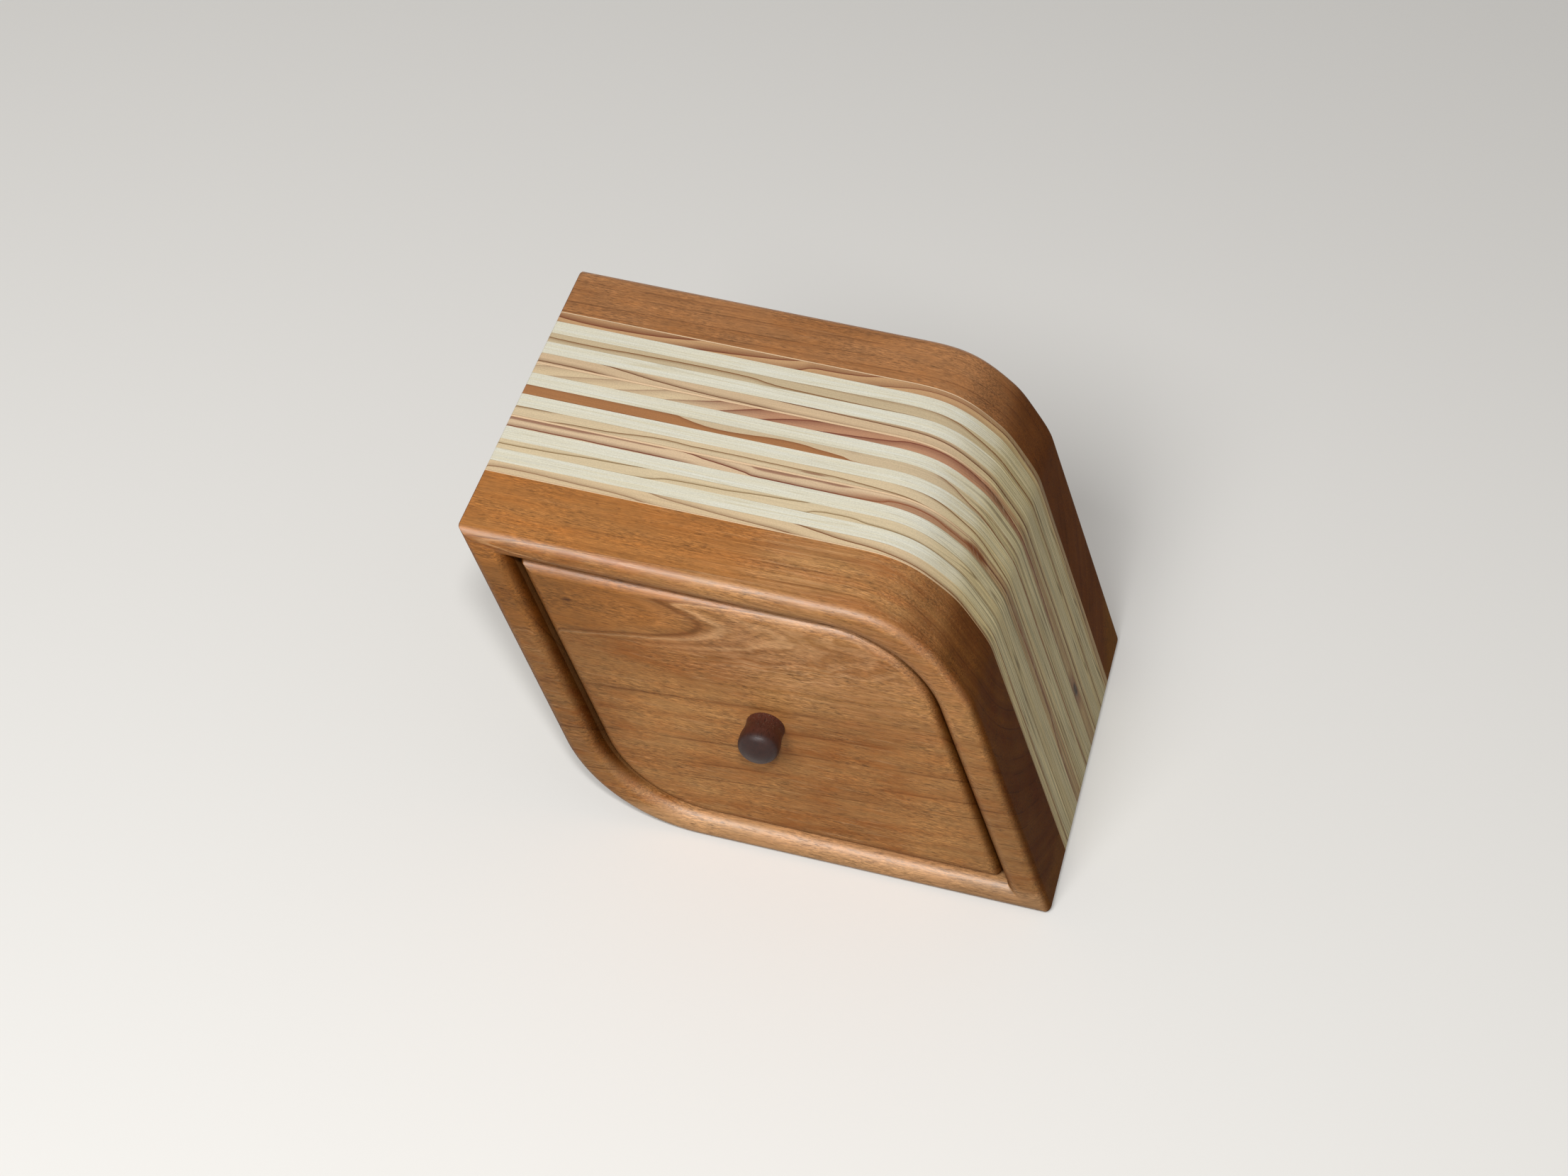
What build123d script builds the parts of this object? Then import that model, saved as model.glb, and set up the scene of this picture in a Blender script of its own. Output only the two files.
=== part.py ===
from build123d import *
from math import radians, sin, tan
import os

# A bandsaw box: a block laminated from a cherry board, three plywood sheets and a second
# cherry board is sawn to a leaning outline, its drawer is sawn out of the middle, and
# both are sliced, hollowed and glued together again.
# Millimetres. X runs to the right, Y into the depth, Z up from the surface it stands on.

os.makedirs("parts", exist_ok=True)

# Outline of the box from the front: a parallelogram that leans to the left
flat_length = 107.0         # top or bottom edge, measured before the corners are rounded
box_height = 85.0
lean_angle = 69.6           # the two sharp corners, in degrees
bend_radius = 35.0          # the two obtuse corners; the acute ones are left sharp

# Layers of the laminated block, from the front
front_board = 19.0          # three-quarter inch cherry
ply_sheet = 18.25           # seven-ply sheet, three of them
back_ring_depth = 10.0      # what is left of the rear board on the case
back_panel_depth = 6.5      # the slice sawn off the rear board and glued back on
sheet_places = ("front", "middle", "rear")

# Saw cuts and running gaps
saw_kerf = 1.0
floor_gap = 0.3             # under the drawer, where it stands on the floor of its bay
rear_gap = 0.2              # behind the drawer when it is pushed home
drawer_shift = 0.3          # the drawer stands this far right of the middle of its bay

# Walls of the case around the drawer bay
wall_flat = 6.5             # above and below the drawer
wall_side = 8.3             # left and right, square to the leaning sides

# The drawer, sliced from the core of the block
drawer_front_depth = 8.0
drawer_back_depth = 5.0
drawer_wall = 6.0           # both sides and the floor around the hollow
hollow_corner_radius = 6.0  # the tightest turn of the blade, in the hollow's sharp corner
lip_radius = 2.0            # rounding of the lip that hooks over the hollow

# Rounded edges
case_roundover = 2.5        # outer edges of the front and the back
bay_roundover = 3.2         # edge of the bay in the front frame
drawer_roundover = 2.8      # front edge of the drawer
drawer_back_ease = 0.8      # flat cut on the rear edge of the drawer

# Turned walnut knob, glued into a blind bore
knob_base_diameter = 8.9
knob_waist_diameter = 8.6
knob_head_diameter = 9.4
knob_waist_reach = 1.7      # from the drawer to the narrowest place
knob_neck_length = 5.0      # from the drawer to where the head reaches its full width
knob_reach = 9.0            # how far it stands out from the drawer
knob_crown = 0.7            # height of the domed end
knob_shoulder_radius = 2.4
tenon_diameter = 6.35
tenon_length = 5.5
tenon_bore_depth = 6.0
tenon_glue_gap = 0.05       # on the radius

# Places along the depth, worked out from the front face
case_depth = front_board + len(sheet_places) * ply_sheet + back_ring_depth + back_panel_depth
bay_depth = case_depth - back_panel_depth
recess = 2 * saw_kerf - rear_gap
knob_proud = knob_reach - recess
front_y = (knob_proud - case_depth) / 2
drawer_y = front_y + recess

# Sizes that follow from the lean
lean_sine = sin(radians(lean_angle))
lean_run = 1 / tan(radians(lean_angle))
bay_length = flat_length - 2 * wall_side / lean_sine
bay_height = box_height - 2 * wall_flat
bay_bend = bend_radius - wall_flat
drawer_length = bay_length - 2 * saw_kerf / lean_sine
drawer_height = bay_height - 2 * saw_kerf
drawer_bend = bay_bend - saw_kerf
drawer_drop = saw_kerf - floor_gap
hollow_length = drawer_length - 2 * drawer_wall / lean_sine
hollow_height = drawer_height - 2 * drawer_wall
hollow_bend = drawer_bend - drawer_wall
hollow_bend_start = hollow_bend * tan(radians(lean_angle / 2))


def leaning_outline(length, height, bend, tip=0):
    """Parallelogram about its own middle: obtuse corners get the bend, acute ones any tip radius."""
    lean = height * lean_run / 2
    with BuildSketch() as outline:
        with BuildLine():
            Polyline(
                (-length / 2 - lean, height / 2),
                (length / 2 - lean, height / 2),
                (length / 2 + lean, -height / 2),
                (-length / 2 + lean, -height / 2),
                close=True,
            )
        make_face()
        obtuse_corners = outline.vertices().sort_by(Axis.X)[1:3]
        fillet(obtuse_corners, bend)
        if tip:
            by_x = outline.vertices().sort_by(Axis.X)
            fillet((by_x[0], by_x[-1]), tip)
    return outline.sketch


def hollowed_outline():
    """The drawer's outline less its hollow, which is open at the top through a mouth."""
    mouth_right = hollow_length / 2 - hollow_height * lean_run / 2 - hollow_bend_start
    above_drawer = drawer_height / 2 + drawer_wall
    with BuildSketch() as layer:
        add(drawer_outline)
        with BuildSketch(mode=Mode.SUBTRACT):
            add(leaning_outline(hollow_length, hollow_height, hollow_bend, hollow_corner_radius))
            with BuildLine():
                Polyline(
                    (-hollow_length / 2, 0),
                    (-hollow_length / 2 - above_drawer * lean_run, above_drawer),
                    (mouth_right, above_drawer),
                    (mouth_right, 0),
                    close=True,
                )
            make_face()
        beside_lip = (mouth_right - lip_radius / 2, mouth_right + lip_radius / 2)
        lip_corners = layer.vertices().filter_by_position(Axis.X, *beside_lip)
        fillet(lip_corners, lip_radius)
    return layer.sketch


box_outline = leaning_outline(flat_length, box_height, bend_radius)
bay_outline = leaning_outline(bay_length, bay_height, bay_bend)
drawer_outline = leaning_outline(drawer_length, drawer_height, drawer_bend)
layer_outline = hollowed_outline()


def case_plane(y):
    """Upright plane across the case at depth y, facing the front, about the box's middle."""
    return Plane(origin=(0, y, box_height / 2), x_dir=(1, 0, 0), z_dir=(0, -1, 0))


def drawer_plane(y):
    """The same about the middle of the drawer, which stands lower and to the right."""
    middle = (drawer_shift, y, box_height / 2 - drawer_drop)
    return Plane(origin=middle, x_dir=(1, 0, 0), z_dir=(0, -1, 0))


def save(piece, name):
    piece.part.label = name
    export_step(piece.part, f"parts/{name}.step")


# Front frame: the cherry board around the bay, rounded over outside and at the bay
with BuildPart() as front_frame:
    with BuildSketch(case_plane(front_y)):
        add(box_outline)
        add(bay_outline, mode=Mode.SUBTRACT)
    extrude(amount=-front_board)
    outer_edges = front_frame.faces().sort_by(Axis.Y)[0].outer_wire().edges()
    fillet(outer_edges, case_roundover)
    bay_edges = front_frame.faces().sort_by(Axis.Y)[0].inner_wires()[0].edges()
    fillet(bay_edges, bay_roundover)
save(front_frame, "front_frame")

# Plywood rings of the case, one for each sheet
ply_y = front_y + front_board
for index, place in enumerate(sheet_places):
    with BuildPart() as case_plywood:
        with BuildSketch(case_plane(ply_y + index * ply_sheet)):
            add(box_outline)
            add(bay_outline, mode=Mode.SUBTRACT)
        extrude(amount=-ply_sheet)
    save(case_plywood, f"case_plywood_{place}")

# Cherry ring that the rear board leaves on the case
back_ring_y = ply_y + len(sheet_places) * ply_sheet
with BuildPart() as back_ring:
    with BuildSketch(case_plane(back_ring_y)):
        add(box_outline)
        add(bay_outline, mode=Mode.SUBTRACT)
    extrude(amount=-back_ring_depth)
save(back_ring, "back_ring")

# Back panel: the slice that closes the bay again, rounded over at its rear edge
with BuildPart() as back_panel:
    with BuildSketch(case_plane(front_y + bay_depth)):
        add(box_outline)
    extrude(amount=-back_panel_depth)
    rear_edges = back_panel.faces().sort_by(Axis.Y)[-1].outer_wire().edges()
    fillet(rear_edges, case_roundover)
save(back_panel, "back_panel")

# Drawer front: a cherry slice with a rounded edge and the blind bore for the knob
with BuildPart() as drawer_front:
    with BuildSketch(drawer_plane(drawer_y)):
        add(drawer_outline)
    extrude(amount=-drawer_front_depth)
    front_edges = drawer_front.faces().sort_by(Axis.Y)[0].outer_wire().edges()
    fillet(front_edges, drawer_roundover)
    with Locations(drawer_plane(drawer_y)):
        Hole(radius=tenon_diameter / 2 + tenon_glue_gap, depth=tenon_bore_depth)
save(drawer_front, "drawer_front")

# Hollowed layers of the drawer: what the two slices and their saw cuts leave of each board
front_layer = front_board - drawer_front_depth - saw_kerf
rear_layer = back_ring_depth - drawer_back_depth - saw_kerf
layers = [("drawer_cherry_front", front_layer)]
layers += [(f"drawer_plywood_{place}", ply_sheet) for place in sheet_places]
layers += [("drawer_cherry_rear", rear_layer)]
layer_y = drawer_y + drawer_front_depth
for layer_name, layer_depth in layers:
    with BuildPart() as drawer_layer:
        with BuildSketch(drawer_plane(layer_y)):
            add(layer_outline)
        extrude(amount=-layer_depth)
    save(drawer_layer, layer_name)
    layer_y += layer_depth

# Drawer back: the slice that closes the hollow
with BuildPart() as drawer_back:
    with BuildSketch(drawer_plane(layer_y)):
        add(drawer_outline)
    extrude(amount=-drawer_back_depth)
    back_edges = drawer_back.faces().sort_by(Axis.Y)[-1].outer_wire().edges()
    chamfer(back_edges, drawer_back_ease)
save(drawer_back, "drawer_back")

# Knob: tenon, waisted neck and domed head, turned about the middle of the drawer
knob_plane = Plane(
    origin=(drawer_shift, drawer_y, box_height / 2 - drawer_drop),
    x_dir=(0, -1, 0),
    z_dir=(1, 0, 0),
)
head_radius = knob_head_diameter / 2
crown_radius = (head_radius**2 + knob_crown**2) / (2 * knob_crown)
with BuildPart() as knob:
    with BuildSketch(knob_plane) as knob_profile:
        with BuildLine():
            Polyline(
                (knob_reach, 0),
                (-tenon_length, 0),
                (-tenon_length, tenon_diameter / 2),
                (0, tenon_diameter / 2),
                (0, knob_base_diameter / 2),
            )
            ThreePointArc(
                (0, knob_base_diameter / 2),
                (knob_waist_reach, knob_waist_diameter / 2),
                (knob_neck_length, head_radius),
            )
            Line((knob_neck_length, head_radius), (knob_reach - knob_crown, head_radius))
            RadiusArc((knob_reach - knob_crown, head_radius), (knob_reach, 0), crown_radius)
        make_face()
        shoulder = knob_profile.vertices().sort_by(Axis.X)[-2]
        fillet(shoulder, knob_shoulder_radius)
    revolve(axis=Axis(knob_plane.origin, knob_plane.x_dir))
save(knob, "knob")
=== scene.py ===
import math

import bmesh
import bpy
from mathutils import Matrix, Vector


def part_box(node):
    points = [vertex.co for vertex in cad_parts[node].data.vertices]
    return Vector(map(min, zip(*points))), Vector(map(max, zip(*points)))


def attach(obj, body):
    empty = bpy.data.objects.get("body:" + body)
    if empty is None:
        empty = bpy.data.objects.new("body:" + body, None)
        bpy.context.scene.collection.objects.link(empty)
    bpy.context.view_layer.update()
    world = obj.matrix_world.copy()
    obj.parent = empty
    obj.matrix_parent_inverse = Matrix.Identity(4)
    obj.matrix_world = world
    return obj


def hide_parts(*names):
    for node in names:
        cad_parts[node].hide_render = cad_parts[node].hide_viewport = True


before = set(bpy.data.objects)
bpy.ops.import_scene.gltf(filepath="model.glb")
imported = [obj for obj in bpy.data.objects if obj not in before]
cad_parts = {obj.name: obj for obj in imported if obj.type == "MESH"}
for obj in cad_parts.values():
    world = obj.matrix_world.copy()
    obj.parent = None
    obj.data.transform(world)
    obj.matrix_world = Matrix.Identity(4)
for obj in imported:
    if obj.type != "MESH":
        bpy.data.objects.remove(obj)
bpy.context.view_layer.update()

# Sizes in this file are millimetres in the frame of the model, unless a comment says otherwise
MM = 1000


def depths(node):
    """Depth of a solid's front and rear faces."""
    low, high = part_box(node)
    return low.y * MM, high.y * MM


# Section of the box and of its drawer, as on the solids
lean = math.radians(69.6)
lean_run = 1 / math.tan(lean)
box_length, box_height, box_bend = 107.0, 85.0, 35.0
wall_flat, wall_side, saw_kerf = 6.5, 8.3, 1.0
drawer_wall = 6.0
hollow_corner = 6.0
lip_radius = 2.0
case_roundover, bay_roundover, drawer_roundover = 2.5, 3.2, 2.8
drawer_back_ease = 0.8
tenon_bore, tenon_bore_depth = 3.225, 6.0

bay_length = box_length - 2 * wall_side / math.sin(lean)
bay_height = box_height - 2 * wall_flat
bay_bend = box_bend - wall_flat
drawer_length = bay_length - 2 * saw_kerf / math.sin(lean)
drawer_height = bay_height - 2 * saw_kerf
drawer_bend = bay_bend - saw_kerf

# Depths of the case's front and of its rear sheet, and of the drawer's front
front_face = depths("front_frame")[0]
drawer_front_face = depths("drawer_front")[0]
sheet_front, sheet_rear = depths("case_plywood_rear")
sheet = sheet_rear - sheet_front

# The drawer stands lower, further right and further back than the block that it was sawn from,
# and its front slice further back than the rest by the kerf that was closed behind it
drawer_right, drawer_drop = 0.3, 0.7
drawer_shift = (drawer_right, depths("drawer_plywood_rear")[1] - sheet_rear, -drawer_drop)
drawer_face_shift = (drawer_right, drawer_front_face - front_face, -drawer_drop)
no_shift = (0, 0, 0)
box_middle = (0, box_height / 2)
drawer_middle = (drawer_right, box_height / 2 - drawer_drop)
left_tip = -box_length / 2 - box_height * lean_run / 2

# Edges of the plies, measured from the rear face of each sheet
ply_edges = (0.28, 3.5, 7.6, 10.75, 14.75, 17.97)


def tone(red, green, blue):
    """A colour as it is seen on a screen, 0 to 255, made linear for the shader."""
    return tuple(((c / 255 + 0.055) / 1.055) ** 2.4 for c in (red, green, blue)) + (1,)


class Field:
    """One number at every point of a surface, made by shader nodes and written like a number."""

    def __init__(self, graph, socket):
        self.graph = graph
        self.socket = socket

    def __add__(self, other):
        return self.graph.math("ADD", self, other)

    def __sub__(self, other):
        return self.graph.math("SUBTRACT", self, other)

    def __mul__(self, other):
        return self.graph.math("MULTIPLY", self, other)

    def __truediv__(self, other):
        return self.graph.math("DIVIDE", self, other)

    def __rsub__(self, other):
        return self.graph.math("SUBTRACT", other, self)

    def __abs__(self):
        return self.graph.math("ABSOLUTE", self)

    def floor(self):
        return self.graph.math("FLOOR", self)

    def fraction(self):
        return self.graph.math("FRACT", self)

    def root(self):
        return self.graph.math("SQRT", self)

    __radd__ = __add__


class Graph:
    """A material under construction."""

    def __init__(self, name):
        self.material = bpy.data.materials.new(name)
        self.material.use_nodes = True
        self.tree = self.material.node_tree
        self.shader = self.tree.nodes["Principled BSDF"]
        self.texture = self.node("ShaderNodeTexCoord")

    def node(self, kind, **settings):
        made = self.tree.nodes.new(kind)
        for name, value in settings.items():
            setattr(made, name, value)
        return made

    def feed(self, socket, value):
        if isinstance(value, Field):
            value = value.socket
        if isinstance(value, bpy.types.NodeSocket):
            self.tree.links.new(value, socket)
        else:
            socket.default_value = value

    def math(self, operation, *values):
        made = self.node("ShaderNodeMath", operation=operation)
        for socket, value in zip(made.inputs, values):
            self.feed(socket, value)
        return Field(self, made.outputs[0])

    def split(self, vector):
        made = self.node("ShaderNodeSeparateXYZ")
        self.feed(made.inputs[0], vector)
        return [Field(self, socket) for socket in made.outputs]

    def place(self, shift):
        """Where a point lies, less the shift."""
        found = self.split(self.texture.outputs["Object"])
        return [number * MM - less for number, less in zip(found, shift)]

    def outward(self):
        """The surface's direction, as three numbers from -1 to 1."""
        return self.split(self.texture.outputs["Normal"])

    def noise(self, *numbers, detail=2.0, roughness=0.5):
        """Smooth noise from 0 to 1 that changes over about one unit of each number."""
        dimensions = "1D" if len(numbers) == 1 else "3D"
        made = self.node("ShaderNodeTexNoise", noise_dimensions=dimensions)
        if dimensions == "1D":
            self.feed(made.inputs["W"], numbers[0])
        else:
            joined = self.node("ShaderNodeCombineXYZ")
            for socket, number in zip(joined.inputs, numbers):
                self.feed(socket, number)
            self.feed(made.inputs["Vector"], joined.outputs[0])
        made.inputs["Scale"].default_value = 1
        made.inputs["Detail"].default_value = detail
        made.inputs["Roughness"].default_value = roughness
        return Field(self, made.outputs[0])

    def rise(self, number, low, high):
        """0 below low and 1 above high, with a smooth rise between."""
        made = self.node("ShaderNodeMapRange", interpolation_type="SMOOTHSTEP")
        for name, value in (("Value", number), ("From Min", low), ("From Max", high)):
            self.feed(made.inputs[name], value)
        return Field(self, made.outputs[0])

    def band(self, number, low, high, soft):
        """1 between low and high, 0 outside, with soft edges."""
        begun = self.rise(number, low - soft, low + soft)
        return begun - self.rise(number, high - soft, high + soft)

    def peak(self, number, middle, reach):
        """1 at the middle, falling to 0 at the reach on either side."""
        return 1 - self.rise(abs(number - middle), 0, reach)

    def round_spot(self, run, at, reach, within, level, height, blur):
        """An oval spot at a place along the run and a level in the ply: 1 in its middle third,
        falling to 0 at its reach and height, with an edge that the blur makes uneven."""
        wide, high = (run - at) / reach, (within - level) / height
        return 1 - self.rise((wide * wide + high * high).root() + blur * 3, 0.35, 1.0)

    def contours(self, number, spacing, width):
        """Thin lines, 1 along their middle, half way between whole multiples of the spacing."""
        return self.peak((number / spacing).fraction(), 0.5, width)

    def curve(self, number, points):
        """A smooth curve through a few points, level beyond its ends."""
        first, last = points[0][0], points[-1][0]
        low = min(value for _, value in points)
        high = max(value for _, value in points)
        made = self.node("ShaderNodeFloatCurve")
        mapping = made.mapping
        mapping.extend = "HORIZONTAL"
        line = mapping.curves[0]
        places = [((x - first) / (last - first), (y - low) / (high - low)) for x, y in points]
        for knot, place in zip(line.points, (places[0], places[-1])):
            knot.location = place
        for place in places[1:-1]:
            line.points.new(*place)
        mapping.update()
        self.feed(made.inputs["Value"], (number - first) / (last - first))
        return Field(self, made.outputs[0]) * (high - low) + low

    def blend(self, factor, first, second, mode="MIX"):
        """The first colour where the factor is 0 and the second where it is 1."""
        made = self.node("ShaderNodeMix", data_type="RGBA", blend_type=mode, clamp_factor=True)
        self.feed(made.inputs[0], factor)
        self.feed(made.inputs[6], first)
        self.feed(made.inputs[7], second)
        return made.outputs[2]

    def shade(self, colour, amount):
        """The colour times a number."""
        made = self.node("ShaderNodeVectorMath", operation="SCALE")
        self.feed(made.inputs[0], colour)
        self.feed(made.inputs["Scale"], amount)
        return made.outputs[0]

    def close(self, colour, roughness, height, specular):
        """Ends the material with its colour, its roughness, the height of its surface and how
        much it mirrors."""
        self.feed(self.shader.inputs["Base Color"], colour)
        self.feed(self.shader.inputs["Roughness"], roughness)
        self.feed(self.shader.inputs["Specular IOR Level"], specular)
        bump = self.node("ShaderNodeBump")
        bump.inputs["Distance"].default_value = 1 / MM
        self.feed(bump.inputs["Height"], height)
        self.feed(self.shader.inputs["Normal"], bump.outputs[0])
        return self.material


def saw_marks(g, x, y, z):
    """Height of the faint ridges that the blade, which runs in the depth, leaves on a cut."""
    ridge_width, swing_width, height = 0.55, 6, 0.10
    run = x * 0.5 - z
    ridge = g.noise(run / ridge_width, y / 60, z / 90, detail=2, roughness=0.7)
    swing = g.noise(run / swing_width, y / 90, z / 90, detail=1)
    return (ridge - 0.5) * (swing + 0.3) * height


# Cherry boards. The growth rings lie round the pith, a line at a depth and a height that leans
# back by the taper as it goes right, and the tilt draws them nearer to it on the right. Where
# the rings graze the front they show as nested tongues. Strong rings, the tongue's outline and
# the first ring of sapwood are radii; figure and waves are patches, as x, z and reach.
front_board = {
    "pith": (front_face + 46, 69.6),
    "taper": 0.03,
    "tilt": 0.08,
    "strong_rings": (31.2, 35.4, 39.9, 44.2, 51.1, 54.6, 58.8, 63.9, 67.6),
    "tongue": 45.52,
    "figure": (-2, 72, 24),
    "waves": (18, 64, 24),
    "fleck": (-45.6, front_face, 69.3),
    "light": tone(187, 135, 81),
    "dark": tone(149, 93, 46),
    "line": tone(108, 60, 24),
    "pale": tone(210, 164, 118),
    "fresh": tone(182, 132, 84),
}
rear_board = {
    "pith": (-20, 80),
    "taper": 0.03,
    "tilt": 0.0,
    "strong_rings": (55, 58.5, 63, 66, 74, 80),
    "figure": (48, 96, 22),
    "waves": (48, 96, 22),
    "fleck": (-30, 48, 30),
    "light": tone(176, 123, 78),
    "dark": tone(154, 102, 58),
    "line": tone(112, 68, 36),
    "pale": tone(186, 138, 96),
    "sapwood": 84.6,
    "fresh": tone(176, 128, 84),
}


def patch(g, x, z, middle_x, middle_z, reach):
    """1 in the middle of a patch that is longer along the grain, falling to 0 at its reach."""
    squeeze, core = 0.35, 0.3
    wide, high = x - middle_x, z - middle_z
    return 1 - g.rise((wide * wide * squeeze + high * high).root(), reach * core, reach)


def front_figure(g, board, colour, x, z, shape, ripple):
    """The front's figure: a tongue at the upper left, painted sheen along its foot and painted
    shade towards its ends.
    """
    tongue_end, tongue_foot = (-12, 2), (55, 60)
    painted_sheen_height, left_end, right_end, top = 8.5, (22, 48), (36, 60), 80
    ahead = shape + ripple * 0.14 - board["tongue"]
    there = (1 - g.rise(x, *tongue_end)) * g.rise(z, *tongue_foot)
    inside = 1 - g.rise(ahead, -0.3, 0.05)
    colour = g.blend(there * inside * 0.65, colour, tone(172, 110, 52))
    outline = g.peak(ahead, 0, 0.06) * 0.45 + g.peak(ahead, 0.05, 0.22) * 0.2
    outline = outline + g.peak(ahead, 0.34, 0.08) * 0.3
    colour = g.blend(outline * there, colour, board["line"])
    colour = g.blend(g.peak(ahead, 0.15, 0.08) * there * 0.4, colour, board["pale"])
    # Painted sheen: the foot of the front is made paler, standing in for a broad highlight from
    # the lamp
    colour = g.blend(g.rise(painted_sheen_height - z, 0, 3) * 0.60, colour, board["pale"])
    # Painted shade: the front is made darker towards its left and right ends, below its top
    ends = g.rise(0 - x, *left_end) * 0.30 + g.rise(x, *right_end) * 0.26
    return g.shade(colour, 1 - ends * g.rise(top - z, 0, 8))


def cherry(name, shift, board, sawn=False):
    """Oiled cherry whose grain runs along X."""
    g = Graph(name)
    x, y, z = g.place(shift)
    pith_y, pith_z = board["pith"]
    curl = patch(g, x, z, *board["figure"])
    waves = patch(g, x, z, *board["waves"])

    # Rings: the distance from the pith, which wanders and ripples
    tilt_start, tilt_run = 16, 40
    wander = g.noise(x / 50, y / 20, z / 20, detail=1) - 0.5
    ripple = g.noise(x / 7, y / 3.6, z / 3.6, detail=2) - 0.5
    above = z - pith_z
    across = y - pith_y - x * board["taper"]
    along = above + (x + tilt_start) * above * (board["tilt"] / tilt_run)
    shape = (across * across + along * along).root()
    ring = shape + wander * 0.4 + ripple * (waves * 0.6 + 0.12)
    broad = g.noise(ring / 3.0, detail=1)
    fine_ring = g.noise(ring / 0.8, detail=2, roughness=0.6)
    hair_ring = g.noise(ring / 0.24, detail=2, roughness=0.6)
    strong = 0
    for radius in board["strong_rings"]:
        shadow = g.peak(ring, radius - 0.5, 1.1) * 0.35
        strong = g.peak(ring, radius, 0.26) + shadow + strong
    strong = strong * g.rise(g.noise(x / 20, y / 8, z / 8 + 4, detail=2), 0.36, 0.60)

    # Grain: each noise is divided by how long and how wide its marks are
    fibre = g.noise(x / 5, y / 0.17, z / 0.17, detail=2, roughness=0.65)
    thread = g.noise(x / 16, y / 0.55, z / 0.55, detail=2, roughness=0.65)
    grit = g.noise(x / 2.0, y / 0.34, z / 0.34, detail=3, roughness=0.75)
    mottle = g.noise(x / 9, y / 3.2, z / 3.2, detail=3, roughness=0.6)
    cloud = g.noise(x / 34, y / 14, z / 14, detail=2)
    fiddle_there = g.rise(g.noise(x / 22, y / 12, z / 12), 0.5, 0.7)
    fiddle = g.noise(x / 0.9, y / 9, z / 9, detail=1) * fiddle_there
    pore = g.rise(g.noise(x / 1.6, y / 0.13, z / 0.13, detail=0), 0.66, 0.76)
    pore = pore * g.rise(g.noise(x / 12 + 9, y / 1.8, z / 1.8, detail=1), 0.40, 0.58)
    # Streaks of painted sheen: pale dashes along the grain that stand in for the wood's shimmer
    painted_sheen = g.noise(x / 11, y / 0.6, z / 0.6 + 3, detail=3, roughness=0.65)
    painted_sheen = g.rise(painted_sheen, 0.55, 0.72)

    # Colour: the board's tones and figure, streaks of painted sheen, strong rings, sapwood and
    # pores
    darkness = cloud * 1.8 + broad * 0.9 + mottle * 1.8 - 1.75
    colour = g.blend(darkness, board["light"], board["dark"])
    flame = g.rise(fine_ring * 0.4 + hair_ring * 0.3 + mottle * 0.3, 0.40, 0.62)
    colour = g.blend((curl + waves * 0.6) * flame * 0.40, colour, board["pale"])
    colour = g.blend(painted_sheen * cloud * 0.65, colour, board["pale"])
    colour = g.blend(strong * 0.55, colour, board["line"])
    if "tongue" in board:
        colour = front_figure(g, board, colour, x, z, shape, ripple)
    if "sapwood" in board:
        grown = g.rise(ring + mottle * 1.5 - x * 0.1 - board["sapwood"], -1.5, 3.5)
        colour = g.blend(grown * (0.45 + fine_ring * 0.4), colour, tone(206, 164, 106))
    colour = g.blend(pore * 0.55, colour, tone(84, 44, 18))
    rough = g.rise(g.noise(x / 16, y / 6, z / 6 + 2, detail=1), 0.38, 0.62)
    tint = 0.96 + (fine_ring - 0.5) * 0.26 + (hair_ring - 0.5) * (curl * 0.35 + 0.20)
    tint = tint + (broad - 0.5) * 0.16 + (fibre - 0.5) * 0.60 + (thread - 0.5) * 0.45
    tint = tint + (grit - 0.5) * (1.0 + rough * 1.6)
    tint = tint + (mottle - 0.5) * 0.85 + (fiddle - 0.2) * 0.12
    colour = g.shade(colour, tint)
    fleck_x, fleck_y, fleck_z = board["fleck"]
    aside, before, over = (x - fleck_x) * 0.45, y - fleck_y, z - fleck_z
    away = (aside * aside + before * before + over * over * 1.6).root() + ripple * 0.8
    colour = g.blend((1 - g.rise(away, 0.3, 1.0)) * 0.8, colour, tone(62, 32, 16))

    # The end grain has soaked up the oil; hands have burnished the rounded edges that face up;
    # wood left by the saw is paler, rougher and ridged
    right, back, up = g.outward()
    cut = g.rise(abs(right), 0.28, 0.92)
    edge = g.rise(abs(back) * up, 0.12, 0.45)
    speck = g.noise(x / 2, y / 0.3, z / 0.3, detail=2)
    soaked = g.blend(speck * 0.6 + broad * 0.5, tone(166, 134, 68), tone(128, 98, 42))
    gloss = 0.46 + (grit - 0.5) * 0.20 + cut * 0.20 + (cloud - 0.5) * 0.12
    height = (fibre - 0.5) * 0.012 + (thread - 0.5) * 0.016 + (grit - 0.5) * 0.02 - pore * 0.02
    if sawn:
        colour = g.blend(0.22, colour, board["fresh"])
        height = height + saw_marks(g, x, y, z)
        gloss = gloss + 0.16
    colour = g.blend(cut * (0.62 if sawn else 0.94), colour, soaked, "MULTIPLY")
    return g.close(colour, gloss, height, (0.18 + edge * 0.60) * (1 - cut * 0.75))


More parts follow.
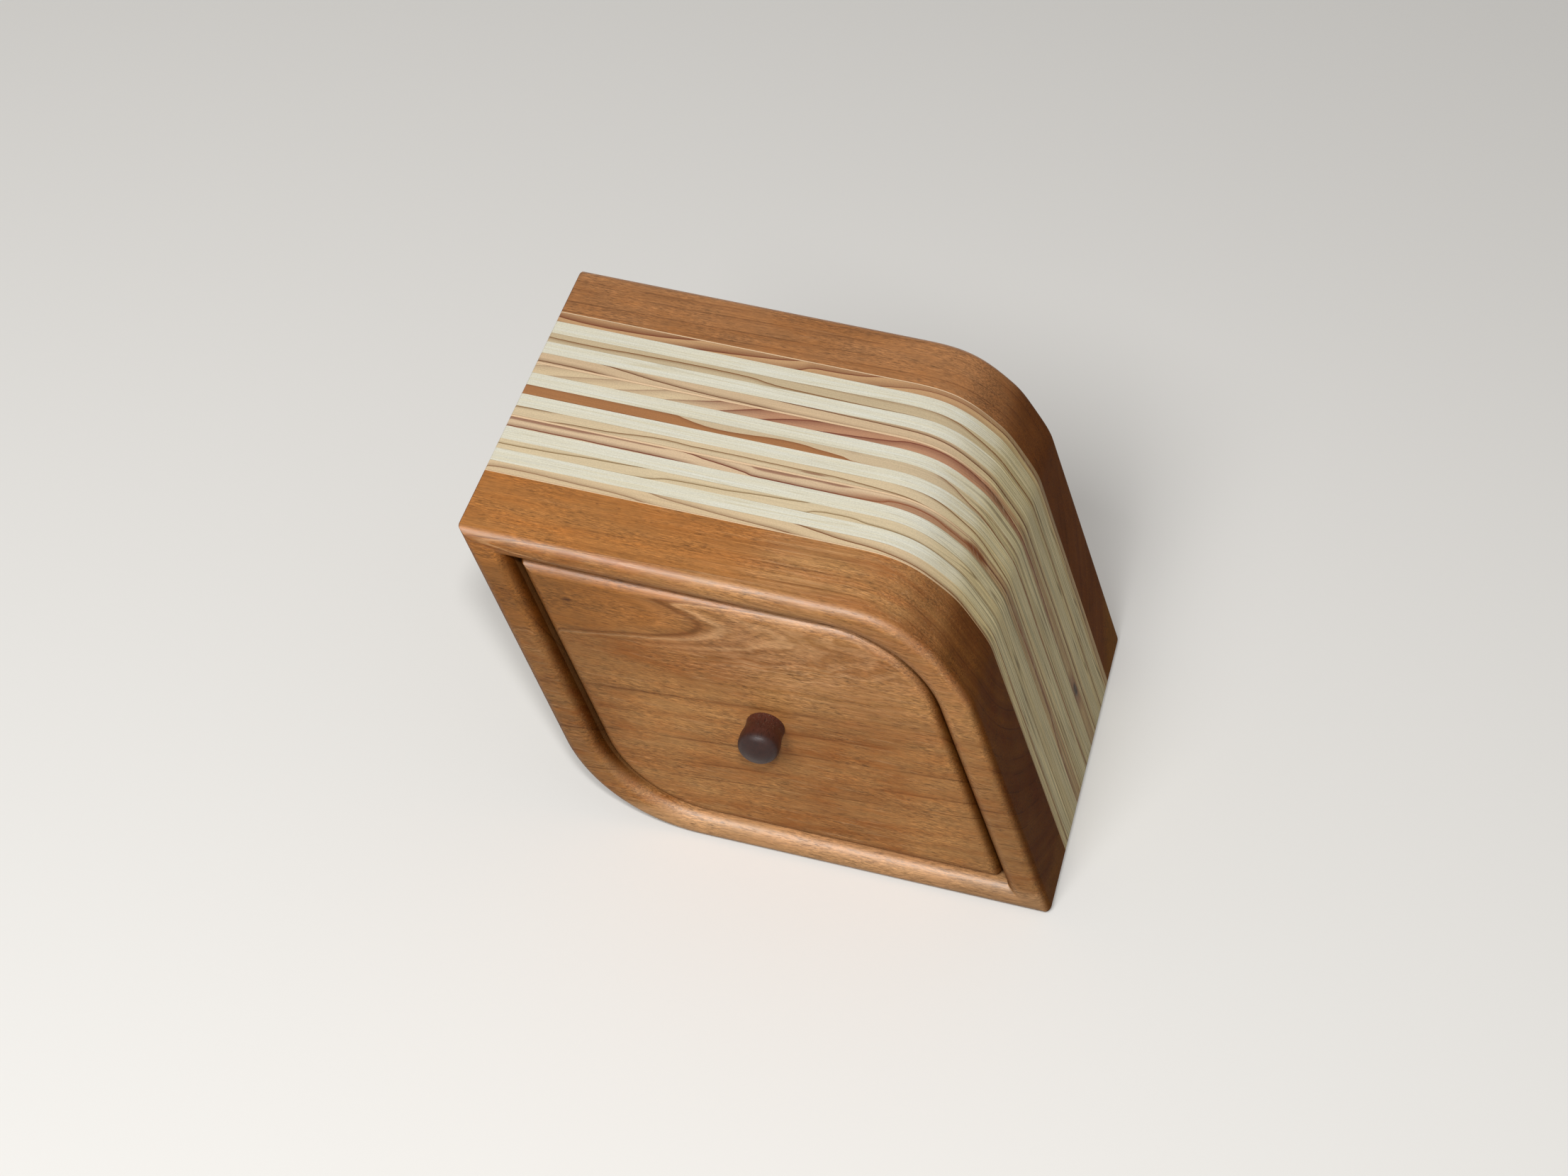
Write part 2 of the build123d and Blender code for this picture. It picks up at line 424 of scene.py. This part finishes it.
# The tan plies, from the rear: row of the sheet, place in the sheet, which side of its growth
# lines is sharp, how far the tone spreads from them, the colours, where the lines run and how
# strong they are. A line lies where the curve, read along the outside of the case from its
# sharp upper corner, plus the depth in the ply, from 0 at its rear to 1, is whole.
tan_plies = (
    (0, 0, "rear", 0.95, tone(196, 154, 110), tone(118, 62, 28),
     ((0, 0.5), (10, 0.27), (20, 0.37), (30, 0.7), (35, 1.0), (45, 1.33), (52, 1.6), (58, 2.0),
      (61, 2.4), (70, 2.57), (76, 2.93), (80, 3.2), (90, 3.55), (105, 3.57), (125, 3.53),
      (150, 3.5), (190, 3.4)),
     ((0, 1.4), (40, 1.4), (55, 1.1), (70, 1.1), (80, 0.8), (120, 0.75), (190, 0.6))),
    (0, 1, "front", 0.42, tone(197, 176, 141), tone(124, 80, 34),
     ((0, 0.6), (10, 0.47), (20, 0.56), (40, 0.66), (47, 0.6), (52, 0.37), (57, 0.22), (65, 0.14),
      (85, 0.05), (95, -0.05), (105, -0.31), (118, -0.43), (130, -0.35), (150, -0.28),
      (190, -0.28)),
     ((0, 0.9), (50, 1.0), (80, 0.85), (88, 0.6), (100, 0.95), (130, 0.9), (190, 0.7))),
    (0, 2, "rear", 0.50, tone(209, 181, 145), tone(108, 64, 28),
     ((0, 1.1), (12, 1.02), (20, 0.74), (25, 0.52), (30, 0.35), (40, 0.13), (50, 0.03),
      (60, -0.1), (70, -0.16), (80, -0.26), (100, -0.39), (105, -0.48), (125, -0.6), (150, -0.55),
      (190, -0.6)),
     ((0, 1.0), (20, 1.0), (60, 0.9), (100, 1.0), (190, 0.7))),
    (1, 0, "front", 0.75, tone(216, 192, 154), tone(110, 50, 28),
     ((0, -0.2), (3.5, 0.0), (19.5, 1.0), (31, 2.0), (43.5, 3.0), (53, 4.0), (66, 5.0), (75, 5.3),
      (83, 5.56), (87, 5.8), (95, 5.91), (105, 5.88), (110, 5.76), (120, 5.6), (126, 5.48),
      (135, 5.59), (150, 5.38), (160, 5.25), (190, 5.2)),
     ((0, 0.4), (30, 0.5), (42, 0.8), (55, 1.0), (95, 1.0), (115, 1.0), (150, 0.8), (165, 0.2),
      (190, 0.5))),
    (1, 1, "front", 0.45, tone(204, 182, 148), tone(122, 70, 30),
     ((0, 1.05), (34, 1.03), (37, 0.85), (41, 0.58), (46, 0.42), (52, 0.5), (57, 0.64),
      (62, 0.69), (68, 0.52), (74, 0.28), (78, 0.02), (95, 0.02), (100, -0.14), (105, -0.48),
      (110, -0.69), (120, -0.86), (125, -0.9), (135, -0.72), (150, -0.76), (190, -0.6)),
     ((0, 0.6), (74, 0.6), (79, 0.0), (92, 0.0), (98, 0.7), (115, 0.8), (125, 0.9), (190, 0.9))),
    (1, 2, "front", 0.32, tone(214, 192, 156), tone(126, 88, 46),
     ((0, -0.05), (7, 0.02), (10, 0.1), (15, 0.23), (20, 0.26), (30, 0.55), (36, 0.65),
      (42, 0.58), (50, 0.58), (60, 0.52), (70, 0.52), (80, 0.35), (86, 0.2), (95, 0.05),
      (100, -0.05), (105, -0.16), (110, -0.26), (120, -0.45), (126, -0.55), (150, -0.5),
      (190, -0.55)),
     ((0, 0.9), (30, 0.9), (80, 0.9), (100, 1.0), (125, 0.9), (190, 0.6))),
    (2, 0, "rear", 0.5, tone(216, 187, 152), tone(112, 54, 28),
     ((0, 1.02), (36, 1.0), (45, 0.69), (50, 0.47), (55, 0.19), (58, 0.03), (83, 0.03),
      (87, 0.34), (90, 0.44), (95, 0.5), (100, 0.44), (105, 0.31), (110, 0.34), (120, 0.53),
      (130, 0.56), (150, 0.69), (160, 0.66), (165, 0.47), (170, 0.22), (175, 0.06), (190, -0.1)),
     ((0, 0.8), (45, 1.2), (76, 1.2), (88, 1.2), (115, 1.1), (122, 0.8), (150, 0.9), (190, 0.7))),
    (2, 1, "rear", 0.28, tone(214, 194, 158), tone(126, 96, 52),
     ((0, 0.44), (10, 0.5), (15, 0.6), (20, 0.72), (30, 0.86), (36, 1.05), (40, 1.34), (50, 1.44),
      (60, 1.66), (70, 1.9), (72.5, 2.2), (78, 2.34), (81, 2.29), (85, 2.06), (95, 2.0),
      (105, 1.95), (120, 1.94), (135, 1.97), (190, 1.95)),
     ((0, 0.9), (80, 0.85), (190, 0.7))),
    (2, 2, "rear", 0.50, tone(214, 188, 150), tone(120, 74, 34),
     ((0, 2.16), (3, 2.41), (10, 2.45), (20, 2.35), (30, 2.23), (36, 1.98), (40, 1.74),
      (50, 1.42), (60, 1.19), (67, 1.03), (70, 0.9), (75, 0.65), (80, 0.42), (85, 0.29),
      (95, 0.1), (110, 0.05), (150, -0.25), (190, -0.3)),
     ((0, 0.85), (35, 0.7), (66, 0.8), (72, 1.0), (90, 1.0), (110, 0.8), (190, 0.7))),
)

# Plies with more than growth lines: a red band and a knot, a brown heart, a speck, and a stain
# along the rear edge that reaches as far in as its curve says
banded_ply, heart_ply, specked_ply, stained_ply = (1, 0), (1, 1), (1, 2), (2, 0)
stain_reach = (
    (0, 0.33), (15, 0.33), (24, 0.2), (34, 0.2), (39, 0.0), (52, 0.0), (56, 0.2), (61, 0.36),
    (65, 0.34), (70, 0.25), (75, 0.3), (81, 0.0), (190, 0.0),
)


def plywood(name, shift, sawn=False):
    """Seven-ply sheets: two pale plies, three tan ones whose growth lines cross them at a
    shallow angle, and a thin veneer on each face."""
    g = Graph(name)
    x, y, z = g.place(shift)
    # What a millimetre of height adds to the run along the outside, besides the lean
    fall = 0.6
    run = x - left_tip + (box_height - z) * fall
    depth = sheet_rear - y
    index = (depth / sheet).floor()
    waver = (g.noise(run / 18, index, z / 40) - 0.5) * 0.16
    waver = waver + (g.noise(run / 3, index + 5, z / 9) - 0.5) * 0.05
    inside = depth - index * sheet + waver
    lift = (g.noise(run / 9, y / 6, z / 30, detail=2) - 0.5) * 0.10
    side = g.rise(g.outward()[0], 0.35, 0.88)
    # The side's olive tone is partly the look of the cut-across plies and partly painted shade,
    # darker and warmer
    side_tone_and_shade = tone(200, 182, 130)
    first, second, third, fourth, fifth, last = ply_edges

    # The pale plies
    streaks = g.noise(run / 22, y / 0.8, z / 30, detail=3)
    pale = g.blend(streaks * 2 - 0.5, tone(230, 228, 213), tone(216, 208, 182))
    faint = g.contours(g.noise(run / 110, y / 2.2, z / 110, detail=0), 0.11, 0.14)
    pale = g.blend(faint * 0.30, pale, tone(188, 170, 128))
    colour = g.blend(side * 0.8, pale, side_tone_and_shade)

    # The tan plies, each with its growth lines
    spans = ((first, second), (third, fourth), (fifth, last))
    for row, column, sharp, width, base, streak, line, strength in tan_plies:
        ply = (row, column)
        low, high = spans[column]
        this_ply = g.band(inside, low, high, 0.05) * (1 - g.rise(abs(index - row), 0.4, 0.6))
        within = (inside - low) / (high - low)
        count = g.curve(run, line) + within + lift
        part = count.fraction()
        if sharp == "rear":
            dark = g.rise(part, 1 - width, 1.0) * 0.6 + g.rise(part, 0.84, 0.96) * 0.5
            dark = dark * (1 - g.rise(part, 0.985, 1.0))
        else:
            dark = (1 - g.rise(part, 0.0, width)) * 0.6 + (1 - g.rise(part, 0.04, 0.16)) * 0.5
            dark = dark * g.rise(part, 0.0, 0.015)
        # On the side each tan ply turns to the olive tone: partly its cut grain, partly painted
        # shade
        wood = g.blend(side * 0.75, base, side_tone_and_shade)
        if ply in (banded_ply, stained_ply):
            wood = g.blend(side * 0.7, wood, tone(170, 136, 92))
        if ply == banded_ply:
            knot_at = 172.5
            halo = g.round_spot(run, knot_at, 7, within, 0.5, 1.2, lift)
            knot = g.round_spot(run, knot_at, 2.6, within, 0.4, 0.5, lift)
            wood = g.blend(g.band(run, 44, 118, 14) * 0.8, wood, tone(176, 116, 84))
            wood = g.blend(halo * 0.7, wood, tone(122, 78, 56))
            wood = g.blend(knot, wood, tone(44, 24, 18))
        if ply == heart_ply:
            heart = g.rise(count, 0.98, 1.0) * (1 - g.rise(run, 80, 84))
            wood = g.blend(heart * 0.95, wood, tone(162, 106, 58))
        wood = g.blend(dark * g.curve(run, strength) * (1 + side * 0.4), wood, streak)
        if ply == stained_ply:
            stain = 1 - g.rise(within - g.curve(run, stain_reach), -0.16, 0.02)
            warm = g.band(run, 78, 118, 10) * g.rise(within, 0.15, 0.6)
            burl = g.round_spot(run, 113.5, 6, within, 0.45, 0.5, lift)
            wood = g.blend(stain * 0.75, wood, tone(122, 64, 44))
            wood = g.blend(warm * 0.7, wood, tone(150, 92, 56))
            wood = g.blend(burl * 0.9, wood, tone(120, 62, 22))
        if ply == specked_ply:
            speck = g.round_spot(run, 69.3, 4.2, within, 0.68, 0.13, lift)
            wood = g.blend(speck * 0.7, wood, tone(128, 72, 44))
        colour = g.blend(this_ply, colour, wood)

    # Veneers on both faces, the glue beside them, and the seams between the plies
    glue_in, seam_width = 0.06, 0.10
    faces = 1 - g.band(inside, first, last, 0.03)
    # On the side the veneer is darker: partly its cut grain, partly painted shade
    veneer = g.blend(side * 0.9, tone(228, 196, 158), tone(164, 130, 86))
    colour = g.blend(faces, colour, veneer)
    glue = g.peak(inside, first + glue_in, 0.12) + g.peak(inside, last - glue_in, 0.10)
    colour = g.blend(glue * 0.6, colour, tone(142, 92, 54))
    seams = g.peak(inside, second, seam_width)
    for edge in (third, fourth, fifth):
        seams = seams + g.peak(inside, edge, seam_width)
    patchy = g.rise(g.noise(run / 14, inside / 2, index, detail=1), 0.45, 0.62)
    colour = g.blend(seams * patchy * 0.5, colour, tone(132, 112, 76))

    # Grain over all the plies; on the side, where they are cut across, it is darker and scored
    fine = g.noise(run / 26, y / 0.26, z / 40, detail=2, roughness=0.6)
    fibre = g.noise(run / 0.35, y / 0.30, z / 1.2, detail=3, roughness=0.7)
    grain = g.contours(g.noise(run / 150, y / 3.2, z / 200, detail=0), 0.13, 0.12)
    grain = grain * g.rise(g.noise(run / 45, y / 2, z / 60), 0.22, 0.46)
    colour = g.blend(side * grain * 0.75, colour, tone(98, 76, 42))
    scratch = g.rise(g.noise((run + y) / 0.20, (run - y) / 4, z / 60, detail=1), 0.58, 0.70)
    colour = g.blend(side * scratch * 0.26, colour, tone(228, 220, 186))
    tint = 0.97 + (fine - 0.5) * 0.34 + (fibre - 0.5) * 0.55 + (streaks - 0.5) * 0.16
    colour = g.shade(colour, tint + side * (fine - 0.5) * 1.4)
    height = (fine - 0.5) * 0.014 + (fibre - 0.5) * 0.014
    gloss = 0.50 + (fibre - 0.5) * 0.12
    if sawn:
        height = height + saw_marks(g, x, y, z)
        gloss = gloss + 0.14
    return g.close(colour, gloss, height, 0.4 - side * 0.3)


def walnut(name, shift):
    """Dark turned walnut, with its grain along the knob."""
    g = Graph(name)
    x, y, z = g.place(shift)
    grain = g.noise(x / 1.1, y / 9, z / 1.1, detail=3, roughness=0.6)
    fibre = g.noise(x / 0.12, y / 3.0, z / 0.12, detail=2)
    warm = g.noise(x / 6, y / 5, z / 6, detail=1)
    pore = g.rise(g.noise(x / 0.16, y / 1.2, z / 0.16, detail=0), 0.64, 0.76)
    speck = g.rise(g.noise(x / 0.22, y / 0.3, z / 0.22, detail=1), 0.60, 0.72)
    turned = g.noise(y / 0.22, detail=1)
    face = drawer_front_face - drawer_shift[1]
    near_drawer = g.rise(y, face - 6.0, face - 2.5)
    colour = g.blend(grain, tone(38, 24, 23), tone(68, 42, 36))
    colour = g.blend(warm * 0.9 * g.rise(y, face - 7.5, face - 5.0), colour, tone(98, 48, 32))
    colour = g.blend(pore * 0.6, colour, tone(24, 15, 13))
    colour = g.blend(near_drawer * speck * 0.6, colour, tone(116, 98, 84))
    colour = g.shade(colour, 0.88 + (fibre - 0.5) * 0.3)
    height = (turned - 0.5) * 0.012 + (fibre - 0.5) * 0.01 - pore * 0.02
    return g.close(colour, 0.42 + (grain - 0.5) * 0.15, height, 0.3)


# Every finish by name; the wood of the block comes also as the saw leaves it. The drawer's wood
# is moved by the same shift as the drawer, so that it goes on from the case's.
finishes = {"walnut_knob": walnut("walnut_knob", drawer_shift)}
for ending, sawn in (("", False), ("_sawn", True)):
    for name, shift, board in (
        ("face_board", drawer_face_shift, front_board),
        ("front_board", no_shift, front_board),
        ("drawer_front_board", drawer_shift, front_board),
        ("rear_board", no_shift, rear_board),
        ("drawer_rear_board", drawer_shift, rear_board),
    ):
        finishes[name + ending] = cherry(name + ending, shift, board, sawn)
    for name, shift in (("sheets", no_shift), ("drawer_sheets", drawer_shift)):
        finishes[name + ending] = plywood(name + ending, shift, sawn)

# Radii of the sharp corners, upper left and lower right, which were eased with sandpaper
case_tips = (0.5, 1.2)
bay_tips = (0.3, 0.3)
drawer_tips = (0.9, 1.2)
tip_steps, bend_steps = 6, 40


def rounded(corners, middle):
    """Closed line through corners given as x, z, radius and number of steps round the corner."""
    points = []
    for index, (x, z, radius, steps) in enumerate(corners):
        corner = Vector((x, z))
        before = Vector(corners[index - 1][:2])
        after = Vector(corners[(index + 1) % len(corners)][:2])
        back, ahead = (before - corner).normalized(), (after - corner).normalized()
        half = back.angle(ahead) / 2
        centre = corner + (back + ahead).normalized() * (radius / math.sin(half))
        first = corner + back * (radius / math.tan(half)) - centre
        last = corner + ahead * (radius / math.tan(half)) - centre
        turn = first.angle(last)
        for step in range(steps + 1):
            share = step / steps
            arm = first * math.sin((1 - share) * turn) + last * math.sin(share * turn)
            points.append(centre + arm / math.sin(turn))
    return [Vector((p.x + middle[0], p.y + middle[1])) for p in points]


def leaning(length, height, bend, tips, middle, inset):
    """The leaning outline with two round and two sharp corners, drawn in by the inset. A
    roundover is never wider round a sharp corner: it meets itself there in a crease."""
    least_tip = 0.05
    length -= 2 * inset / math.sin(lean)
    height -= 2 * inset
    shift = height * lean_run / 2
    upper, lower = (max(tip - max(inset, 0), least_tip) for tip in tips)
    corners = (
        (-length / 2 - shift, height / 2, upper, tip_steps),
        (length / 2 - shift, height / 2, bend - inset, bend_steps),
        (length / 2 + shift, -height / 2, lower, tip_steps),
        (-length / 2 + shift, -height / 2, bend - inset, bend_steps),
    )
    return rounded(corners, middle)


def hump(share):
    """A smooth rise from 0 to 1 and back to 0 as the share goes from 0 to 1."""
    return (1 - math.cos(2 * math.pi * min(max(share, 0), 1))) / 2


def box_line(inset=0.0):
    """The outside of the case. On the upper round corner the saw swung a little wide, and then
    cut in a little."""
    points = leaning(box_length, box_height, box_bend, case_tips, box_middle, inset)
    swing, turning_point = 0.5, 0.55
    for step in range(bend_steps + 1):
        index = tip_steps + 1 + step
        share = step / bend_steps
        cut_in = hump((share - turning_point) / (1 - turning_point))
        wander = hump(share / turning_point) - cut_in
        ahead = points[index + 1] - points[index]
        outward = Vector((-ahead.y, ahead.x)).normalized()
        points[index] = points[index] + outward * wander * swing
    return points


def bay_line(inset=0.0):
    """The wall of the bay."""
    return leaning(bay_length, bay_height, bay_bend, bay_tips, box_middle, inset)


def drawer_line(inset=0.0):
    """The outside of the drawer."""
    return leaning(drawer_length, drawer_height, drawer_bend, drawer_tips, drawer_middle, inset)


def layer_line():
    """The drawer's outline with its hollow, which is open at the top behind a lip."""
    length = drawer_length - 2 * drawer_wall / math.sin(lean)
    height = drawer_height - 2 * drawer_wall
    bend = drawer_bend - drawer_wall
    shift, outer_shift = height * lean_run / 2, drawer_height * lean_run / 2
    mouth = length / 2 - shift - bend * math.tan(lean / 2)
    bend_behind_lip = bend - lip_radius / math.tan(lean / 2)
    upper, lower = drawer_tips
    top = drawer_height / 2
    mouth_ease, lip_steps = 0.6, 8
    corners = (
        (-drawer_length / 2 - outer_shift, top, upper, tip_steps),
        (-length / 2 - top * lean_run, top, mouth_ease, 5),
        (-length / 2 + shift, -height / 2, bend, 30),
        (length / 2 + shift, -height / 2, hollow_corner, 12),
        (length / 2 - shift, height / 2, bend_behind_lip, 24),
        (mouth, height / 2, lip_radius, lip_steps),
        (mouth, top, lip_radius, lip_steps),
        (drawer_length / 2 - outer_shift, top, drawer_bend, bend_steps),
        (drawer_length / 2 + outer_shift, -top, lower, tip_steps),
        (-drawer_length / 2 + outer_shift, -top, drawer_bend, bend_steps),
    )
    return rounded(corners, drawer_middle)


def roundover(line, radius, face, inward):
    """Loops round the edge of a face, from the face to the wall. Inward is 1 where the piece
    lies behind the face and -1 where it lies in front. A negative radius is for an opening."""
    steps = 10
    loops = []
    for step in range(steps + 1):
        angle = math.pi / 2 * step / steps
        depth = abs(radius) * (1 - math.cos(angle))
        loops.append((line(radius * (1 - math.sin(angle))), face + inward * depth))
    return loops


def loft(name, node, body, loops, finish, sawn_spans=(), ring=False):
    """A closed piece through loops of equal count, each a line and its depth, which stands for
    a node. A ring closes on itself; any other piece ends in flat faces. The spans between
    loops that are named sawn keep the marks of the saw."""
    weld_metres, crease = 1e-7, math.radians(28)
    mesh = bpy.data.meshes.new(name)
    count = len(loops[0][0])
    last_loop = (len(loops) - 1) * count
    points = [(p.x / MM, y / MM, p.y / MM) for line, y in loops for p in line]
    faces, marks = [], []
    for span in range(len(loops) if ring else len(loops) - 1):
        here, there = span * count, (span + 1) % len(loops) * count
        for step in range(count):
            ahead = (step + 1) % count
            faces.append((here + step, there + step, there + ahead, here + ahead))
            marks.append(int(span in sawn_spans))
    if not ring:
        faces.append(tuple(range(count)))
        faces.append(tuple(reversed(range(last_loop, last_loop + count))))
        marks += [0, 0]
    mesh.from_pydata(points, [], faces)
    mesh.materials.append(finishes[finish])
    if sawn_spans:
        mesh.materials.append(finishes[f"{finish}_sawn"])
    for face, mark in zip(mesh.polygons, marks):
        face.material_index = mark
        face.use_smooth = True
    welded = bmesh.new()
    welded.from_mesh(mesh)
    bmesh.ops.remove_doubles(welded, verts=welded.verts, dist=weld_metres)
    bmesh.ops.recalc_face_normals(welded, faces=welded.faces)
    welded.to_mesh(mesh)
    welded.free()
    mesh.set_sharp_from_angle(angle=crease)
    piece = bpy.data.objects.new(name, mesh)
    bpy.context.scene.collection.objects.link(piece)
    shading = piece.modifiers.new("flat_faces_shade_flat", "WEIGHTED_NORMAL")
    shading.keep_sharp = True
    shading.weight = 100
    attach(piece, body)
    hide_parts(node)


# Front frame, rounded over outside and at the bay
front, rear = depths("front_frame")
loops = [(bay_line(), rear)]
loops += reversed(roundover(bay_line, -bay_roundover, front, 1))
loops += roundover(box_line, case_roundover, front, 1)
loops += [(box_line(), rear)]
loft("frame_board", "front_frame", "case", loops, "front_board", (0,), ring=True)

# Rings of the case behind it
for node, slot, finish in (
    ("case_plywood_front", "plywood", "sheets"),
    ("case_plywood_middle", "plywood", "sheets"),
    ("case_plywood_rear", "plywood", "sheets"),
    ("back_ring", "cherry_case", "rear_board"),
):
    front, rear = depths(node)
    loops = [(bay_line(), rear), (bay_line(), front), (box_line(), front), (box_line(), rear)]
    loft(f"{node}_sawn", node, "case", loops, finish, (0,), ring=True)

# Back panel, rounded over at the rear
front, rear = depths("back_panel")
loops = [(box_line(), front)] + roundover(box_line, case_roundover, rear, -1)[::-1]
loft("back_slice", "back_panel", "case", loops, "rear_board")

# Drawer front, with the bore for the knob's tenon
front, rear = depths("drawer_front")
knob_centre = Vector(drawer_middle)
bore = [knob_centre + (point - knob_centre).normalized() * tenon_bore for point in drawer_line()]
loops = [(bore, front + tenon_bore_depth), (bore, front)]
loops += roundover(drawer_line, drawer_roundover, front, 1)
loops += [(drawer_line(), rear)]
wall = len(loops) - 2
loft("drawer_face", "drawer_front", "drawer", loops, "face_board", (wall,))

# Hollowed layers of the drawer
for node, slot, finish in (
    ("drawer_cherry_front", "cherry_drawer", "drawer_front_board"),
    ("drawer_plywood_front", "plywood", "drawer_sheets"),
    ("drawer_plywood_middle", "plywood", "drawer_sheets"),
    ("drawer_plywood_rear", "plywood", "drawer_sheets"),
    ("drawer_cherry_rear", "cherry_drawer", "drawer_rear_board"),
):
    front, rear = depths(node)
    loops = [(layer_line(), front), (layer_line(), rear)]
    loft(f"{node}_sawn", node, "drawer", loops, finish, (0,))

# Drawer back, its rear edge cut flat
front, rear = depths("drawer_back")
loops = [(drawer_line(), front), (drawer_line(), rear - drawer_back_ease)]
loops += [(drawer_line(drawer_back_ease), rear)]
loft("drawer_rear_slice", "drawer_back", "drawer", loops, "drawer_rear_board")


def knob_profile():
    """The turned knob as reach from the drawer's face and radius, from its tenon to its end."""
    tenon = [(-5.5, 0.5), (-5.5, 3.0), (-5.2, 3.175), (0.0, 3.175)]
    profile = tenon + [(0.0, 4.3), (0.12, 4.42)]
    # A neck that is narrowest at the waist and widens to the head
    waist_reach, waist, base, head, neck = 1.7, 4.3, 4.45, 4.7, 5.0
    neck_steps = 12
    for step in range(1, neck_steps + 1):
        reach = neck * step / neck_steps
        if reach < waist_reach:
            radius = waist + (base - waist) * (reach / waist_reach - 1) ** 2
        else:
            share = (reach - waist_reach) / (neck - waist_reach)
            radius = waist + (head - waist) * (1 - math.cos(math.pi * share)) / 2
        profile.append((reach, radius))
    # A round shoulder
    shoulder, shoulder_start, shoulder_turn, shoulder_steps = 2.4, 6.0, math.radians(78), 12
    for step in range(1, shoulder_steps + 1):
        angle = shoulder_turn * step / shoulder_steps
        reach = shoulder_start + shoulder * math.sin(angle)
        profile.append((reach, head - shoulder * (1 - math.cos(angle))))
    # A low crown
    knob_reach, crown_steps = 9.0, 9
    end_reach, end_radius = profile[-1]
    crown = knob_reach - end_reach
    for step in range(1, crown_steps):
        share = 1 - step / crown_steps
        profile.append((end_reach + crown * (1 - share**2), end_radius * share))
    return profile


# Knob
turned_sides = 96
turns = [2 * math.pi * side / turned_sides for side in range(turned_sides)]
loops = []
for reach, radius in knob_profile():
    circle = [knob_centre + Vector((math.cos(turn), math.sin(turn))) * radius for turn in turns]
    loops.append((circle, drawer_front_face - reach))
loft("turned_knob", "knob", "drawer", loops, "walnut_knob")

# A floor that fills every view; its reach is in metres
floor_reach = 3.0
floor_mesh = bpy.data.meshes.new("floor")
corners = [(x * floor_reach, y * floor_reach, 0) for x, y in ((-1, -1), (1, -1), (1, 1), (-1, 1))]
floor_mesh.from_pydata(corners, [], [(0, 1, 2, 3)])
floor = bpy.data.objects.new("floor", floor_mesh)
bpy.context.scene.collection.objects.link(floor)
backdrop = tone(234, 232, 229)


def seen(tree):
    """1 for the rays that show the floor and the world: seen, mirrored or through glass."""
    ray = tree.nodes.new("ShaderNodeLightPath")
    found = ray.outputs["Is Camera Ray"]
    for name in ("Is Glossy Ray", "Is Transmission Ray"):
        either = tree.nodes.new("ShaderNodeMath")
        either.operation = "MAXIMUM"
        tree.links.new(found, either.inputs[0])
        tree.links.new(ray.outputs[name], either.inputs[1])
        found = either.outputs[0]
    return found


# The floor is pale where it is seen, fades into the backdrop away from the box, and throws
# little light on it
fade_start, fade_end = 350, 1300
floor_paint = Graph("floor_paint")
floor_seen = Field(floor_paint, seen(floor_paint.tree))
away_x, away_y, _ = floor_paint.place(no_shift)
away = (away_x * away_x + away_y * away_y).root()
far = floor_paint.rise(away, fade_start, fade_end) * floor_seen
floor_colour = floor_paint.blend(floor_seen, tone(124, 122, 118), tone(236, 234, 230))
for name, value in (
    ("Base Color", floor_paint.shade(floor_colour, 1 - far)),
    ("Roughness", 0.8),
    ("Specular IOR Level", 0.1),
    ("Emission Color", backdrop),
    ("Emission Strength", far),
):
    floor_paint.feed(floor_paint.shader.inputs[name], value)
floor_mesh.materials.append(floor_paint.material)

# The world lights the box evenly, and is as pale as the backdrop where it is seen
world = bpy.data.worlds.new("room")
bpy.context.scene.world = world
world.use_nodes = True
room_light = 0.25
background = world.node_tree.nodes["Background"]
background.inputs["Color"].default_value = backdrop
strength = world.node_tree.nodes.new("ShaderNodeMath")
strength.operation = "MULTIPLY_ADD"
world.node_tree.links.new(seen(world.node_tree), strength.inputs[0])
strength.inputs[1].default_value = 1 - room_light
strength.inputs[2].default_value = room_light
world.node_tree.links.new(strength.outputs[0], background.inputs["Strength"])


def lamp(name, place, size, power):
    """A square soft lamp that points at the middle of the box. Its place and size are in
    metres and its power is in watts."""
    aim = Vector((0, 0, 0.04))
    data = bpy.data.lights.new(name, "AREA")
    data.shape = "SQUARE"
    data.size = size
    data.energy = power
    made = bpy.data.objects.new(name, data)
    made.location = place
    made.rotation_euler = (Vector(place) - aim).to_track_quat("Z", "Y").to_euler()
    bpy.context.scene.collection.objects.link(made)


lamp("key", (-0.32, -0.84, 1.04), 0.6, 11.4)
lamp("above_camera", (0.12, -0.56, 0.84), 0.08, 3.6)

# The camera stands where the photograph was taken: its place in metres, its turn in degrees
camera_place = (0.09337, -0.44996, 0.52628)
camera_turn = (43.660, -2.110, 14.663)
photo_width = 2212
focal_pixels = 4100
camera_data = bpy.data.cameras.new("camera")
camera_data.sensor_width = 36
camera_data.lens = camera_data.sensor_width * focal_pixels / photo_width
camera = bpy.data.objects.new("camera", camera_data)
camera.location = camera_place
camera.rotation_euler = [math.radians(angle) for angle in camera_turn]
bpy.context.scene.collection.objects.link(camera)
bpy.context.scene.camera = camera
bpy.context.scene.view_settings.view_transform = "Standard"
